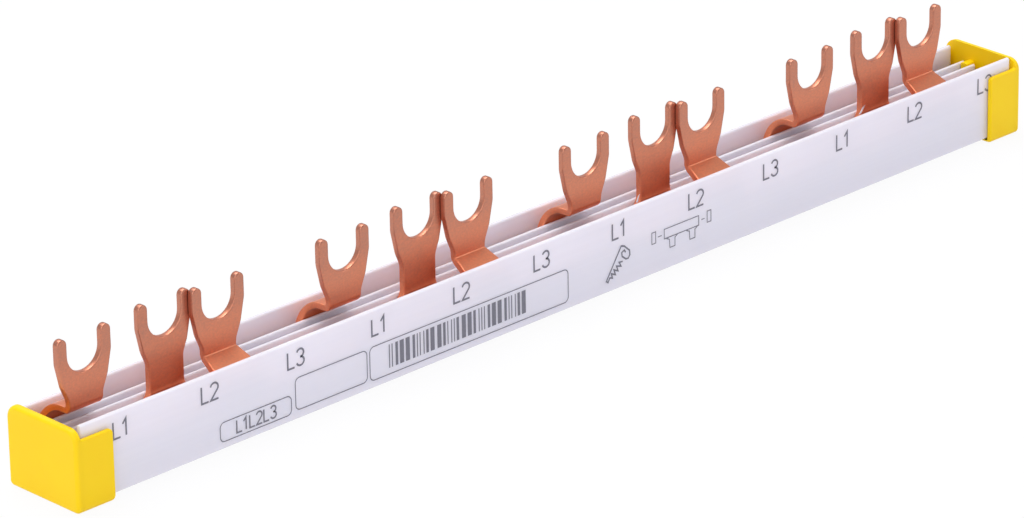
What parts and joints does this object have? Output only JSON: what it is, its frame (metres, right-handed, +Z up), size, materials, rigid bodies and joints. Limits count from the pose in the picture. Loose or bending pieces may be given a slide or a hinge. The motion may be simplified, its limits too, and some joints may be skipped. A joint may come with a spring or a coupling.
{
  "type": "comb busbar",
  "caption": "Three-phase comb busbar: bent copper fork combs in an open-topped insulating channel with a slip-on cap at each end.",
  "frame": {"origin": "midway between the end caps and between their front and rear faces, on the caps' underside", "axes": "+X along the row of devices towards the last fork, +Y from the printed front wall to the rear, +Z up along the forks"},
  "size_m": [0.214, 0.0164, 0.0259],
  "materials": {
    "housing_pvc": "extruded, glossy",
    "copper": "rolled and stamped copper, bright",
    "cap_plastic": "moulded, satin"
  },
  "bodies": {
    "root": {"housing": "housing_pvc", "front_comb_bar": "copper", "middle_comb_bar": "copper", "rear_comb_bar": "copper", "left_end_cap": "cap_plastic", "right_end_cap": "cap_plastic"}
  },
  "joints": []
}
